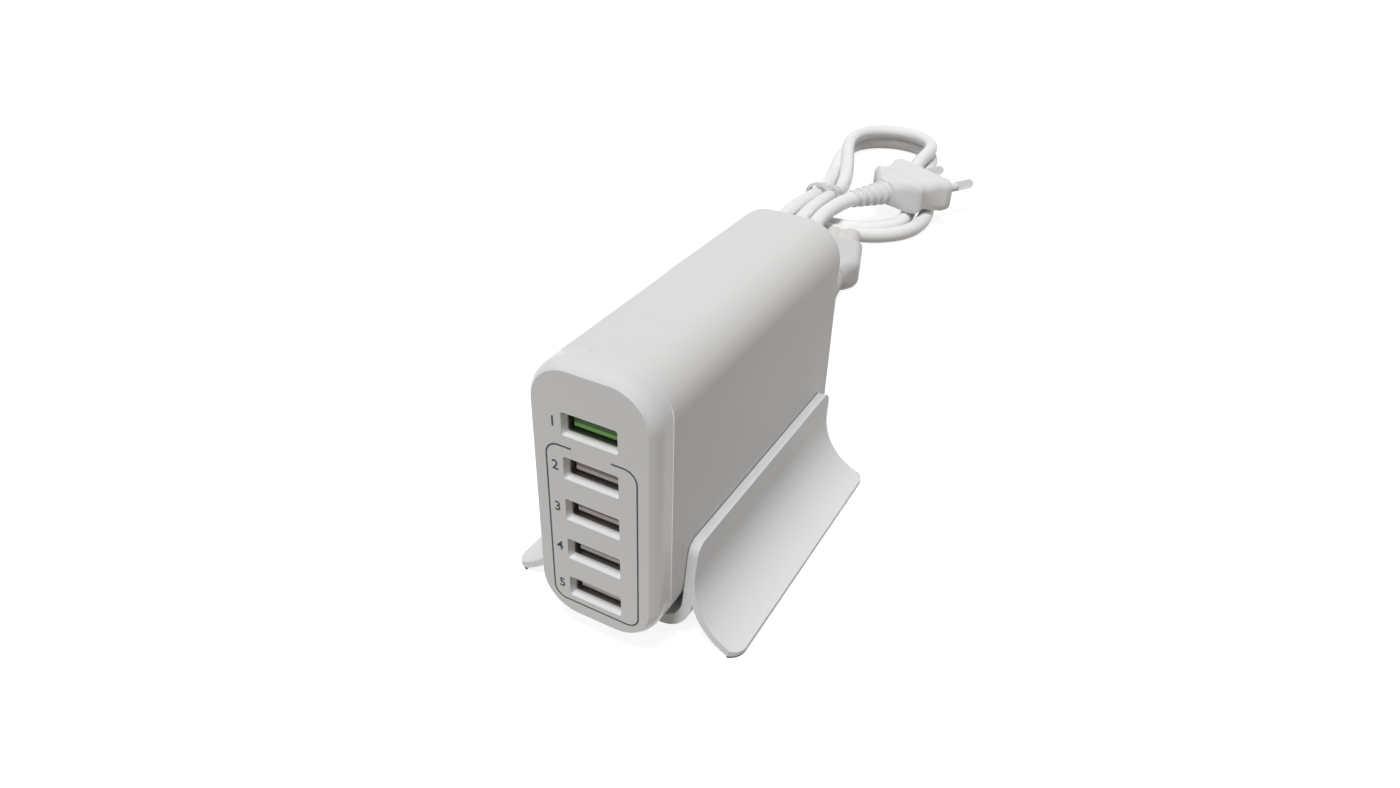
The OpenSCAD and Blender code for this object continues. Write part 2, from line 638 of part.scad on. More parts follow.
// The four corners between ring i and the next, from side k to side k + 1
function band(i, k) = [i * cord_sides + k, (i + 1) * cord_sides + k,
                       (i + 1) * cord_sides + (k + 1) % cord_sides, i * cord_sides + (k + 1) % cord_sides];
module mains_lead() color([0.88, 0.88, 0.87]) polyhedron(
  points = [for (i = [0 : rings - 1]) each ring(i)],
  faces = concat(
    [[for (k = [0 : cord_sides - 1]) k]],
    [for (i = [0 : rings - 2], k = [0 : cord_sides - 1]) band(i, k)],
    [[for (k = [cord_sides - 1 : -1 : 0]) (rings - 1) * cord_sides + k]]));

/* Tie round the two strands that cross on top */
tie_at = [-54.5, 212, 7.7];
tie_tilt = 9;
tie_t = 1.2;
tie_w = 4;
tie_span = 6.6;
tie_gap = 0.3;
tie_inner_w = tie_span + cord_d + 2 * tie_gap;
tie_inner_h = cord_d + 4 * tie_gap;
module lead_tie() color([0.92, 0.94, 0.95]) translate(tie_at) rotate([90 - tie_tilt, 0, 0])
  translate([0, 0, -tie_w / 2]) linear_extrude(tie_w) difference() {
    rounded_rect(tie_inner_w + 2 * tie_t, tie_inner_h + 2 * tie_t, cord_d / 2 + tie_t);
    rounded_rect(tie_inner_w, tie_inner_h, cord_d / 2);
  }

/* Flat two-pin plug, lying on its broad side */
plug_relief = 18;
plug_relief_r0 = 3.7;
plug_relief_r1 = 5.0;
plug_len = 22;
plug_edge_r = 4;
plug_neck = 6;
// Finger grip: a hollow on each edge and each broad side
plug_hollow_r = 11;
plug_hollow_x = 3.2;
plug_hollow_y = 0.8;
plug_hollow_z = 11;
plug_pin_len = 19;
plug_pin_d = 4;
plug_pin_core = 3;
plug_pin_pitch = 18.6;
pin_tip = 1;
sleeve_len = 10;
sleeve_d = 3.8;
sleeve_gap = 0.02;
module along_plug() lying(plug_end, plug_turn) children();

module plug_body() color([0.90, 0.90, 0.90]) along_plug() {
  relief(plug_relief_r0, plug_relief_r1, plug_relief, relief_ribs);
  difference() {
    intersection() {
      translate([0, 0, plug_relief]) linear_extrude(plug_len) rounded_rect(plug_w, plug_t, plug_edge_r);
      translate([0, plug_t, plug_relief]) rotate([90, 0, 0]) linear_extrude(2 * plug_t)
        polygon([[-plug_neck, 0], [plug_neck, 0], [plug_w / 2 - 3, plug_hollow_z - 5],
                 [plug_w / 2, plug_hollow_z], [plug_w / 2, plug_len], [-plug_w / 2, plug_len],
                 [-plug_w / 2, plug_hollow_z], [-plug_w / 2 + 3, plug_hollow_z - 5]]);
      translate([-plug_w, 0, plug_relief]) rotate([90, 0, 90]) linear_extrude(2 * plug_w)
        polygon([[-plug_relief_r1, 0], [plug_relief_r1, 0], [plug_t / 2, 5], [plug_t / 2, plug_len],
                 [-plug_t / 2, plug_len], [-plug_t / 2, 5]]);
    }
    for (s = [-1, 1]) {
      translate([s * (plug_w / 2 + plug_hollow_r - plug_hollow_x), plug_t, plug_relief + plug_hollow_z])
        rotate([90, 0, 0]) cylinder(h = 2 * plug_t, r = plug_hollow_r);
      translate([-plug_w, s * (plug_t / 2 + plug_hollow_r - plug_hollow_y), plug_relief + plug_hollow_z])
        rotate([0, 90, 0]) cylinder(h = 2 * plug_w, r = plug_hollow_r);
    }
  }
}

module plug_sleeves() color([0.86, 0.86, 0.86]) along_plug() for (x = [-1, 1])
  translate([x * plug_pin_pitch / 2, 0, plug_relief + plug_len]) difference() {
    cylinder(h = sleeve_len, d = sleeve_d);
    translate([0, 0, -cut]) cylinder(h = sleeve_len + 2 * cut, d = plug_pin_core + 2 * sleeve_gap);
  }

module plug_pins() color([0.80, 0.80, 0.82]) along_plug() for (x = [-1, 1])
  translate([x * plug_pin_pitch / 2, 0, plug_relief + plug_len]) {
    cylinder(h = sleeve_len, d = plug_pin_core);
    translate([0, 0, sleeve_len]) cylinder(h = plug_pin_len - sleeve_len - pin_tip, d = plug_pin_d);
    translate([0, 0, plug_pin_len - pin_tip]) cylinder(h = pin_tip, d1 = plug_pin_d, d2 = plug_pin_core);
  }

front_bezel();
main_housing();
stand();
foot_strip(-1);  // foot_strip_left
foot_strip(1);  // foot_strip_right
mains_inlet();
inlet_pins();
for (i = [1 : port_count]) {
  socket_shell(i);
  socket_tongue(i);
  socket_contacts(i);
}
socket_board();
main_board();
board_header();
insulating_sheet();
inlet_leads();
fuse();
suppression_capacitor();
choke_core();
choke_windings();
rectifier();
input_capacitors();
transformer_core();
transformer_winding();
heat_sink();
power_transistor();
output_capacitors();
connector_nose();
connector_grip();
mains_lead();
lead_tie();
plug_body();
plug_sleeves();
plug_pins();
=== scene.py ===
# %% [markdown]
# # A desktop USB charger, dressed in Blender
#
# The charger's solids come from a CAD model and are never moved here. This lesson gives each of them its
# finish, lays the printed line and numbers on the front, draws the mains lead as one smooth curve and
# lights the whole as in a plain product picture. Lengths are in metres, but the lead's route and its two
# lofted ends are given in millimetres.

# %% Load the solids
import math

import bpy
from mathutils import Matrix, Vector


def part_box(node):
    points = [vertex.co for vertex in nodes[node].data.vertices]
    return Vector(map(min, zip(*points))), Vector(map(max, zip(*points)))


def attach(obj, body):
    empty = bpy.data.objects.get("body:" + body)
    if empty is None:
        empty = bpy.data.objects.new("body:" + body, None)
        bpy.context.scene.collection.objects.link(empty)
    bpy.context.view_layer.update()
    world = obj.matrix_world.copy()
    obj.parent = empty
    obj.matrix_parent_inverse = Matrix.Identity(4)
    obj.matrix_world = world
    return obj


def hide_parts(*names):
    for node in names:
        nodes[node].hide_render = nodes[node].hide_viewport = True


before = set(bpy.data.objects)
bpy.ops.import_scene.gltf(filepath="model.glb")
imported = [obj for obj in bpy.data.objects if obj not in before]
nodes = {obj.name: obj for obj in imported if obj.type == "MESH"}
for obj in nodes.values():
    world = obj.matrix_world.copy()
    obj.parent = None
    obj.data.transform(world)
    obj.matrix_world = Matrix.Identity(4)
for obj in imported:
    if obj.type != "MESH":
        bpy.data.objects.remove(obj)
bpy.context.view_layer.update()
MM = 0.001
print("solids:", len(nodes))

# %% [markdown]
# ## The camera
#
# The photograph was taken from the front right, above the charger, with a wide lens held close. A camera
# can be placed by eye, but a fit to the body's long edges is surer: it gave the place, the two angles and a
# small roll. The view is written as a matrix, because its three columns are simply right, up and back.

# %% Camera
CAMERA_AT = Vector((0.08871, -0.16847, 0.16268))
CAMERA_AZIMUTH = math.radians(27.818)
CAMERA_ELEVATION = math.radians(32.807)
CAMERA_ROLL = math.radians(1.982)
LENS_MM = 25.0


def add_camera():
    back = Vector((
        math.sin(CAMERA_AZIMUTH) * math.cos(CAMERA_ELEVATION),
        -math.cos(CAMERA_AZIMUTH) * math.cos(CAMERA_ELEVATION),
        math.sin(CAMERA_ELEVATION),
    ))
    level_right = Vector((math.cos(CAMERA_AZIMUTH), math.sin(CAMERA_AZIMUTH), 0))
    level_up = back.cross(level_right)
    right = level_right * math.cos(CAMERA_ROLL) + level_up * math.sin(CAMERA_ROLL)
    up = level_up * math.cos(CAMERA_ROLL) - level_right * math.sin(CAMERA_ROLL)
    data = bpy.data.cameras.new("camera")
    data.lens = LENS_MM
    data.sensor_width = 36
    data.clip_start = 0.01
    camera = bpy.data.objects.new("camera", data)
    bpy.context.scene.collection.objects.link(camera)
    camera.matrix_world = Matrix.Translation(CAMERA_AT) @ Matrix((right, up, back)).transposed().to_4x4()
    bpy.context.scene.camera = camera
    return camera


camera = add_camera()
print("camera at", tuple(round(v, 3) for v in camera.location))

# %% [markdown]
# ## Shader maths in plain Python
#
# A finish is a small graph of nodes. Written node by node it hides the idea, so one class wraps a number
# socket and turns Python's own operators into Math nodes.


# %% Numbers
class Num:
    """A number socket that Python's operators turn into Math nodes."""

    def __init__(self, finish, socket):
        self.finish = finish
        self.socket = socket

    def math(self, operation, *values):
        made = self.finish.node("ShaderNodeMath", {"operation": operation}, dict(enumerate(values)))
        return Num(self.finish, made.outputs[0])

    def __add__(self, other):
        return self.math("ADD", self, other)

    def __sub__(self, other):
        return self.math("SUBTRACT", self, other)

    def __rsub__(self, other):
        return self.math("SUBTRACT", other, self)

    def __mul__(self, other):
        return self.math("MULTIPLY", self, other)

    __radd__ = __add__
    __rmul__ = __mul__

    def clamped(self):
        return self.math("MINIMUM", self.math("MAXIMUM", self, 0.0), 1.0)


# %% [markdown]
# ## One object per finish
#
# Colours, textures and shaders need other nodes than the maths does. A second class holds the material and
# adds any node from its type, its settings and its sockets, in that order, because a setting can change
# which sockets a node has. Its short methods name what a maker would ask for: a noise, a blend, a bump.


# %% Finishes
class Finish:
    """One material, built node by node."""

    def __init__(self, name):
        self.material = bpy.data.materials.new(name)
        self.material.use_nodes = True
        self.tree = self.material.node_tree
        self.tree.nodes.clear()
        self.output = self.node("ShaderNodeOutputMaterial")

    def feed(self, socket, value):
        value = value.socket if isinstance(value, Num) else value
        if isinstance(value, bpy.types.NodeSocket):
            self.tree.links.new(value, socket)
        else:
            socket.default_value = value

    def node(self, kind, settings=None, sockets=None):
        made = self.tree.nodes.new(kind)
        for key, value in (settings or {}).items():
            if key == "stops":
                for stop, (place, colour) in zip(made.color_ramp.elements, value):
                    stop.position = place
                    stop.color = colour
            else:
                setattr(made, key, value)
        for key, value in (sockets or {}).items():
            self.feed(made.inputs[key], value)
        return made

    def place(self, stretch=(1, 1, 1)):
        where = self.node("ShaderNodeTexCoord").outputs["Object"]
        return self.node("ShaderNodeMapping", None, {"Vector": where, "Scale": stretch}).outputs[0]

    def noise(self, feature, detail=3.0, stretch=(1, 1, 1)):
        """Cloudy noise from 0 to 1 whose blotches are about feature metres across."""
        sockets = {"Vector": self.place(stretch), "Scale": 1 / feature, "Detail": detail}
        return Num(self, self.node("ShaderNodeTexNoise", None, sockets).outputs["Fac"])

    def blend(self, factor, first, second):
        mix = self.node("ShaderNodeMix", {"data_type": "RGBA"}, {0: factor, 6: first, 7: second})
        return mix.outputs[2]

    def bump(self, height, depth, under=None):
        sockets = {"Height": height, "Distance": depth, "Strength": 1.0}
        if under is not None:
            sockets["Normal"] = under
        return self.node("ShaderNodeBump", None, sockets).outputs[0]

    def surface(self, **sockets):
        named = {key.replace("_", " ").title().replace("Ior", "IOR"): value for key, value in sockets.items()}
        shader = self.node("ShaderNodeBsdfPrincipled", None, named)
        self.feed(self.output.inputs["Surface"], shader.outputs[0])
        return self.material


def grey(value, warmth=0.0):
    """A near-white colour; warmth above 0 leans to ivory and below 0 to blue."""
    return (value * (1 + warmth), value, value * (1 - warmth), 1)


def dress(material, *names):
    for name in names:
        slots = nodes[name].data.materials
        slots.clear()
        slots.append(material)


# %% [markdown]
# ## White plastics
#
# The bezel, the housing and the cradle are three mouldings in nearly one white. The bezel is glossy, the
# housing has a fine satin texture, and the cradle is a little cooler. Each gets its tone from broad, weak
# noise, so that no face is one flat colour, a grain bump for the mould's texture, and a roughness that
# wanders slightly, as handled plastic does. The walls and ledges of the recess round each port are lit more
# than the face; a mask made from the coordinates picks them out for a whiter colour: painted light.


# %% Moulded plastic
PORTS = range(1, 6)
face_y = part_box("front_bezel")[0][1]
RECESS_HALF_W, RECESS_RISE = 0.0080, 0.0045
# Painted light: the whiter colour of the recess walls and ledges.
RECESS_PAINTED_LIGHT = grey(0.97)
MASK_EDGE = 20000


def port_height(port):
    low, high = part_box(f"socket_shell_{port}")
    return (low[2] + high[2]) / 2


def port_recess(finish):
    """1 on the walls and ledges of the port recesses, and 0 on the face and the rim."""
    spot = finish.node("ShaderNodeSeparateXYZ", None, {0: finish.place()})
    x, y, z = (Num(finish, output) for output in spot.outputs)
    low, high = port_height(PORTS[-1]) - RECESS_RISE, port_height(PORTS[0]) + RECESS_RISE
    behind_face = ((y - (face_y + 0.0001)) * MASK_EDGE).clamped()
    between_sides = ((RECESS_HALF_W - x.math("ABSOLUTE", x)) * MASK_EDGE).clamped()
    between_ends = ((z - low) * MASK_EDGE).clamped() * ((high - z) * MASK_EDGE).clamped()
    return behind_face * between_sides * between_ends


def moulded(name, tone, warmth, rough, grain, grain_depth, coat=0.0, painted_light_part=None):
    finish = Finish(name)
    blotch = finish.noise(0.03, detail=2.0)
    colour = finish.blend(blotch.clamped(), grey(tone * 0.975, warmth), grey(tone, warmth * 0.5))
    if painted_light_part:
        # The recess walls and ledges get the whiter colour: painted light.
        colour = finish.blend(painted_light_part(finish), colour, RECESS_PAINTED_LIGHT)
    smudge = finish.noise(0.011, detail=4.0)
    fine = finish.noise(grain, detail=2.0)
    return finish.surface(
        base_color=colour,
        roughness=(smudge - 0.5) * 0.12 + rough,
        coat_weight=coat,
        coat_roughness=0.08,
        normal=finish.bump(fine, grain_depth),
    )


bezel_white = moulded("bezel_gloss", 0.79, 0.0, 0.30, 0.0012, 0.000003, coat=0.6, painted_light_part=port_recess)
housing_white = moulded("housing_satin", 0.80, 0.012, 0.42, 0.0004, 0.000010)
cradle_white = moulded("cradle_satin", 0.82, -0.006, 0.38, 0.0005, 0.000008)
inlet_white = moulded("inlet_satin", 0.76, 0.01, 0.5, 0.0004, 0.000010)
dress(bezel_white, "front_bezel")
dress(housing_white, "main_housing")
dress(cradle_white, "stand")
dress(inlet_white, "mains_inlet")
print("white plastics:", bezel_white.name, housing_white.name, cradle_white.name, inlet_white.name)

# %% [markdown]
# ## Rubber strips, sockets and tongues
#
# Dark anti-slip strips show as a thin line under the wings. Inside the ports there is stamped steel, whose
# drawing marks run along the shell, and a tongue: green in the first port, pale grey in the others. The upper
# half of a tongue lies in the shade of its port. The lamps here are too soft to draw that, so a deeper colour
# above a height stands for it.


# %% Rubber, metal and plain plastic
def rubber(name, tone):
    finish = Finish(name)
    dust = finish.noise(0.002, detail=5.0)
    return finish.surface(
        base_color=finish.blend(dust.clamped(), grey(tone), grey(tone * 1.7, 0.04)),
        roughness=dust * 0.2 + 0.7,
        normal=finish.bump(finish.noise(0.0003), 0.00003),
    )


def drawn_metal(name, colour, rough, stretch=(1, 0.04, 1)):
    finish = Finish(name)
    lines = finish.noise(0.0004, detail=4.0, stretch=stretch)
    dark = tuple(c * 0.8 for c in colour[:3]) + (1,)
    return finish.surface(
        base_color=finish.blend(lines.clamped(), dark, colour),
        metallic=1.0,
        roughness=lines * 0.25 + rough,
        normal=finish.bump(lines, 0.000006),
    )


SHADE_FADE = 4000


def dull_plastic(name, colour, rough=0.5, painted_shade=None, painted_shade_above=0.0):
    """Plain plastic; a darker colour, if one is given, takes over above a height as painted shade."""
    finish = Finish(name)
    cloud = finish.noise(0.004, detail=3.0)
    dark = tuple(c * 0.86 for c in colour[:3]) + (1,)
    tone = finish.blend(cloud.clamped(), dark, colour)
    if painted_shade:
        # Painted shade: the darker colour takes over above the given height.
        height = Num(finish, finish.node("ShaderNodeSeparateXYZ", None, {0: finish.place()}).outputs[2])
        tone = finish.blend(((height - painted_shade_above) * SHADE_FADE).clamped(), tone, painted_shade)
    return finish.surface(
        base_color=tone,
        roughness=cloud * 0.1 + rough,
        normal=finish.bump(finish.noise(0.0004), 0.000010),
    )


# %% Strips, sockets and tongues
SHADE_BELOW_MIDDLE = 0.0012
strip_black = rubber("strip_rubber", 0.03)
dress(strip_black, "foot_strip_left", "foot_strip_right")
shell_steel = drawn_metal("shell_steel", (0.30, 0.29, 0.28, 1), 0.3)
contact_gold = drawn_metal("contact_gold", (0.80, 0.58, 0.25, 1), 0.25)
pin_nickel = drawn_metal("pin_nickel", (0.66, 0.66, 0.67, 1), 0.2)
GREEN, GREEN_SHADE = (0.27, 0.66, 0.16, 1), (0.05, 0.13, 0.02, 1)
PALE, PALE_SHADE = (0.86, 0.76, 0.73, 1), (0.26, 0.225, 0.215, 1)
for port in PORTS:
    bright, shade = (GREEN, GREEN_SHADE) if port == 1 else (PALE, PALE_SHADE)
    shade_from = port_height(port) - SHADE_BELOW_MIDDLE
    dress(dull_plastic(f"tongue_{port}", bright, 0.35, shade, shade_from), f"socket_tongue_{port}")
    dress(shell_steel, f"socket_shell_{port}")
    dress(contact_gold, f"socket_contacts_{port}")
dress(pin_nickel, "inlet_pins", "plug_pins")
print("port heights in mm:", [round(port_height(port) / MM, 2) for port in PORTS])

# %% [markdown]
# ## What is inside
#
# The boards and their parts can't be seen from outside, except as glints through the ports, but they are
# real pieces and get real finishes: solder resist, printed sleeves, ferrite, copper and tape.


# %% Inner pieces
def copper_wire(name):
    finish = Finish(name)
    wave = finish.node("ShaderNodeTexWave", {"bands_direction": "Y"}, {
        "Vector": finish.place(), "Scale": 330.0, "Distortion": 0.6})
    turns = Num(finish, wave.outputs["Fac"])
    return finish.surface(
        base_color=finish.blend(turns.clamped(), (0.16, 0.05, 0.015, 1), (0.62, 0.24, 0.08, 1)),
        metallic=0.8,
        roughness=0.3,
        normal=finish.bump(turns, 0.0002),
    )


dress(dull_plastic("solder_resist", (0.02, 0.16, 0.06, 1), 0.3), "main_board", "socket_board")
black_epoxy = dull_plastic("black_epoxy", (0.03, 0.03, 0.03, 1))
dress(black_epoxy, "board_header", "fuse", "rectifier", "power_transistor")
dress(dull_plastic("milky_sheet", (0.75, 0.73, 0.66, 1), 0.3), "insulating_sheet")
dress(dull_plastic("wire_blue", (0.03, 0.08, 0.35, 1), 0.35), "inlet_leads")
dress(dull_plastic("film_yellow", (0.60, 0.42, 0.04, 1), 0.35), "suppression_capacitor")
dress(dull_plastic("ferrite", (0.05, 0.05, 0.052, 1), 0.6), "choke_core", "transformer_core")
dress(copper_wire("copper_winding"), "choke_windings")
dress(dull_plastic("winding_tape", (0.66, 0.46, 0.06, 1), 0.35), "transformer_winding")
dress(dull_plastic("can_navy", (0.03, 0.04, 0.12, 1), 0.25), "input_capacitors")
dress(dull_plastic("can_green", (0.02, 0.10, 0.06, 1), 0.25), "output_capacitors")
dress(drawn_metal("plate_aluminium", (0.70, 0.71, 0.72, 1), 0.3), "heat_sink")
print("materials so far:", len(bpy.data.materials))

# %% [markdown]
# ## The printed line and the numbers
#
# A thin grey line frames four of the five ports, open at its top, and each port has a small number beside
# it. A texture would need image data, so the print is real geometry: a ribbon a third of a millimetre wide
# along a rounded outline, and text objects, both a few hundredths of a millimetre proud of the face.

# %% Printed line
PRINT_T = 0.00003
LINE_W = 0.00036
LINE_LEFT, LINE_RIGHT = -0.0105, 0.01075
LINE_TOP, LINE_BOTTOM = 0.05045, 0.00915
LINE_R = 0.0030
GAP_LEFT, GAP_RIGHT = -0.0044, 0.00485


def quarter(centre_x, centre_z, start):
    """Points of a quarter circle, clockwise from the start angle in degrees."""
    turns = [math.radians(start - 90 * k / 10) for k in range(11)]
    return [(centre_x + LINE_R * math.cos(a), centre_z + LINE_R * math.sin(a)) for a in turns]


def ribbon(name, line, width, material):
    """A flat closed strip along line, given as x and z on the front face."""
    verts = []
    for i, (x, z) in enumerate(line):
        ahead = Vector(line[min(i + 1, len(line) - 1)])
        behind = Vector(line[max(i - 1, 0)])
        run = (ahead - behind).normalized()
        side = Vector((-run.y, run.x)) * width / 2
        for y in (face_y - PRINT_T, face_y + PRINT_T):
            verts.append((x + side.x, y, z + side.y))
            verts.append((x - side.x, y, z - side.y))
    faces = [(0, 1, 3, 2)]
    for i in range(len(line) - 1):
        a, b = 4 * i, 4 * i + 4
        faces += [(a, b, b + 1, a + 1), (a + 2, a + 3, b + 3, b + 2)]
        faces += [(a, a + 2, b + 2, b), (a + 1, b + 1, b + 3, a + 3)]
    last = 4 * (len(line) - 1)
    faces.append((last, last + 2, last + 3, last + 1))
    mesh = bpy.data.meshes.new(name)
    mesh.from_pydata(verts, [], faces)
    mesh.materials.append(material)
    piece = bpy.data.objects.new(name, mesh)
    bpy.context.scene.collection.objects.link(piece)
    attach(piece, "root")
    return piece


outline = [(GAP_RIGHT, LINE_TOP)]
outline += quarter(LINE_RIGHT - LINE_R, LINE_TOP - LINE_R, 90)
outline += quarter(LINE_RIGHT - LINE_R, LINE_BOTTOM + LINE_R, 0)
outline += quarter(LINE_LEFT + LINE_R, LINE_BOTTOM + LINE_R, -90)
outline += quarter(LINE_LEFT + LINE_R, LINE_TOP - LINE_R, 180)
outline.append((GAP_LEFT, LINE_TOP))
ink = dull_plastic("print_grey", (0.06, 0.06, 0.063, 1), 0.5)
ribbon("frame_line", outline, LINE_W, ink)
print("printed line:", len(outline), "points")

# %% Port numbers
NUMBER_X, NUMBER_RISE = -0.0085, 0.0001
NUMBER_H = 0.0024
CAP_SHARE = 0.73
STROKE_SPREAD = 0.00005


for port in PORTS:
    text = bpy.data.curves.new(f"number_{port}", "FONT")
    text.body = str(port)
    text.align_x = "CENTER"
    text.size = NUMBER_H / CAP_SHARE
    text.offset = STROKE_SPREAD
    text.extrude = PRINT_T
    text.materials.append(ink)
    number = bpy.data.objects.new(f"number_{port}", text)
    bpy.context.scene.collection.objects.link(number)
    number.location = (NUMBER_X, face_y, port_height(port) - NUMBER_H / 2 + NUMBER_RISE)
    number.rotation_euler = (math.radians(90), 0, 0)
    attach(number, "root")
print("port numbers:", len(PORTS), "of", round(NUMBER_H / MM, 1), "mm")

# %% [markdown]
# ## The bright line at the seam
#
# Where the bezel meets the housing, a polished edge shows as one hair-thin bright line down the side. The gap
# between the solids is dark, so the line is a fine bead laid in it: a closed curve along the rounded outline.
# On the bright top the real line can't be told from the plastic, so only the two sides of the bead are
# polished, by a mask on the distance from the middle.

# %% Seam bead
BODY_LOW, BODY_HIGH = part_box("main_housing")
BEZEL_DEPTH, SEAM_GAP = 0.0066, 0.00015
SEAM_Y = face_y + BEZEL_DEPTH + SEAM_GAP / 2
BEAD_R = 0.00010
BEAD_PROUD = 0.00004
BEAD_POINTS = 96
CORNER_R = 0.010
POLISH_FROM, POLISH_FADE = 0.0135, 1000


def seam_outline():
    """The body's cross-section outline at the seam, as x and z, anticlockwise."""
    half_w = (BODY_HIGH[0] - BODY_LOW[0]) / 2 - BEAD_R + BEAD_PROUD
    half_h = (BODY_HIGH[2] - BODY_LOW[2]) / 2 - BEAD_R + BEAD_PROUD
    middle = (BODY_HIGH[2] + BODY_LOW[2]) / 2
    r = CORNER_R - BEAD_R + BEAD_PROUD
    points = []
    for k in range(BEAD_POINTS):
        a = 2 * math.pi * (k + 0.5) / BEAD_POINTS
        c, d = math.cos(a), math.sin(a)
        points.append((
            math.copysign(half_w - r, c) + r * c,
            middle + math.copysign(half_h - r, d) + r * d,
        ))
    return points


polish = Finish("seam_polish")
polish_wear = polish.noise(0.004, detail=2.0)
across = Num(polish, polish.node("ShaderNodeSeparateXYZ", None, {0: polish.place()}).outputs[0])
on_side = ((across.math("ABSOLUTE", across) - POLISH_FROM) * POLISH_FADE).clamped()
polish.surface(
    base_color=polish.blend(polish_wear.clamped(), grey(0.76), grey(0.82)),
    metallic=on_side * 0.85,
    roughness=polish_wear * 0.1 + 0.45 - on_side * 0.25,
)
bead_data = bpy.data.curves.new("seam_bead", "CURVE")
bead_data.dimensions = "3D"
bead_data.bevel_depth = BEAD_R
bead_data.bevel_resolution = 2
bead_line = bead_data.splines.new("POLY")
seam_points = seam_outline()
bead_line.points.add(len(seam_points) - 1)
for point, (x, z) in zip(bead_line.points, seam_points):
    point.co = (x, SEAM_Y, z, 1)
bead_line.use_cyclic_u = True
bead_data.materials.append(polish.material)
bead = bpy.data.objects.new("seam_bead", bead_data)
bpy.context.scene.collection.objects.link(bead)
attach(bead, "root")
print("seam bead:", len(seam_points), "points")

# %% [markdown]
# ## The mains lead
#
# The lead is unplugged and lies behind the charger in a figure-8 hank, held by a band. It is one curve: the
# points steer a smooth line, and a round section is swept along it. Its whole length is there, from the
# connector's strain relief to the plug's.

# %% The lead's route
CORD_D = 0.0062
ROUTE_MM = [
    (-17, 122, 5.8), (-13.6, 109.3, 4.4), (-13.1, 95.4, 3.1), (-20.9, 82.8, 3.1), (-34.4, 78, 3.1),
    (-47.6, 82.3, 3.1), (-55.8, 94.3, 3.1), (-57, 112, 3.1), (-58, 130, 3.1), (-58.8, 149, 3.1),
    (-58.8, 166.9, 6.9), (-57.8, 183.9, 10.3), (-57, 201, 9.6), (-58, 218, 6.4), (-62.5, 240, 3.1),
    (-68.5, 261, 3.1), (-72.5, 279, 3.1), (-73.8, 296.5, 3.1), (-64.9, 309.3, 3.1), (-52, 313.3, 3.1),
    (-39.2, 309.1, 3.1), (-30.7, 296.6, 3.1), (-30, 278, 3.1), (-24.5, 260, 3.1), (-15.5, 240, 3.1),
    (-10.5, 219, 3.1), (-13, 202, 3.1), (-25.5, 190.5, 3.1), (-41.2, 187.7, 3.1), (-54, 186.2, 3.1),
    (-64, 178, 3.1), (-67.6, 163.3, 3.1), (-67.2, 145, 3.1), (-68, 127.1, 4.4), (-68.1, 108.6, 8.9),
    (-58.4, 98.5, 9.7), (-48.1, 96.4, 8.9), (-39.1, 99.4, 7.4), (-31.9, 108, 5.2), (-31.5, 122.5, 3.1),
    (-45, 140.2, 3.1), (-49.3, 155.9, 3.8), (-51, 170, 7.3), (-51, 185.9, 9.8), (-50.4, 202, 9.8),
    (-51.4, 218, 6.8), (-55, 238, 3.3), (-61, 258, 5.7), (-70.1, 277.1, 9.7), (-71.4, 296, 9.6),
    (-62.6, 306.6, 9.6), (-52.4, 309.8, 9.6), (-41.3, 307.6, 9.6), (-31.2, 296.6, 9.6), (-31.9, 277.3, 9.6),
    (-31.5, 261, 7.6), (-28.5, 246, 3.4), (-20.5, 230, 3.1), (-17.5, 213, 3.1), (-25.1, 199.1, 3.1),
    (-39, 193.8, 3.1), (-53.1, 193.5, 3.1), (-65.7, 188.7, 3.1), (-73.1, 177.6, 3.1), (-73.9, 161, 3.1),
    (-73.7, 143, 3.1), (-74.2, 125, 3.1), (-72.7, 106.8, 4.9), (-63.8, 92, 8.7), (-48, 85, 10),
    (-31.8, 89, 7.5), (-22.5, 102.5, 4), (-24.4, 119.9, 3.1), (-33.3, 135.1, 3.1), (-41.3, 148.6, 3.1),
    (-43.4, 163, 5.5), (-44, 177, 9), (-43.2, 189.5, 12.2), (-38, 201, 13.2),
]


# %% The lead's curve
def sheath(name):
    finish = Finish(name)
    handling = finish.noise(0.02, detail=3.0)
    ripple = finish.noise(0.006, detail=1.0)
    return finish.surface(
        base_color=finish.blend(handling.clamped(), grey(0.93, 0.006), grey(0.97, 0.002)),
        roughness=handling * 0.15 + 0.3,
        coat_weight=0.15,
        coat_roughness=0.2,
        normal=finish.bump(ripple, 0.00012),
    )


def smooth_curve(name, route, diameter, material):
    data = bpy.data.curves.new(name, "CURVE")
    data.dimensions = "3D"
    data.bevel_depth = diameter / 2
    data.bevel_resolution = 5
    data.resolution_u = 6
    data.use_fill_caps = True
    spline = data.splines.new("NURBS")
    spline.points.add(len(route) - 1)
    for point, (x, y, z) in zip(spline.points, route):
        point.co = (x * MM, y * MM, z * MM, 1)
    spline.order_u = 4
    spline.use_endpoint_u = True
    spline.use_smooth = True
    data.materials.append(material)
    piece = bpy.data.objects.new(name, data)
    bpy.context.scene.collection.objects.link(piece)
    return piece


cord_white = sheath("cord_sheath")
lead = smooth_curve("lead_cord", ROUTE_MM, CORD_D, cord_white)
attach(lead, "root")
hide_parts("mains_lead")
print("lead:", len(ROUTE_MM), "points")

# %% [markdown]
# ## Connector and plug as lofts
#
# Both ends of the lead are soft mouldings: a ribbed strain relief that runs into a grip with no sharp edge.
# Cutting and bevelling boxes would leave hard corners, so each is lofted: a list of sections, each a rounded
# rectangle with its place along the axis, is skinned from end to end. A circle is the case where the corner
# radius is half the side. The sections keep to the sizes of the solids that they replace.

# %% Loft tools
RING = 48
RIB_PROFILE = ((0.0, 1.0), (0.04, 0.3125), (0.14, 0.0), (0.46, 0.0), (0.56, 0.3125), (0.62, 1.0), (0.98, 1.0))
SHARPEST = 0.3


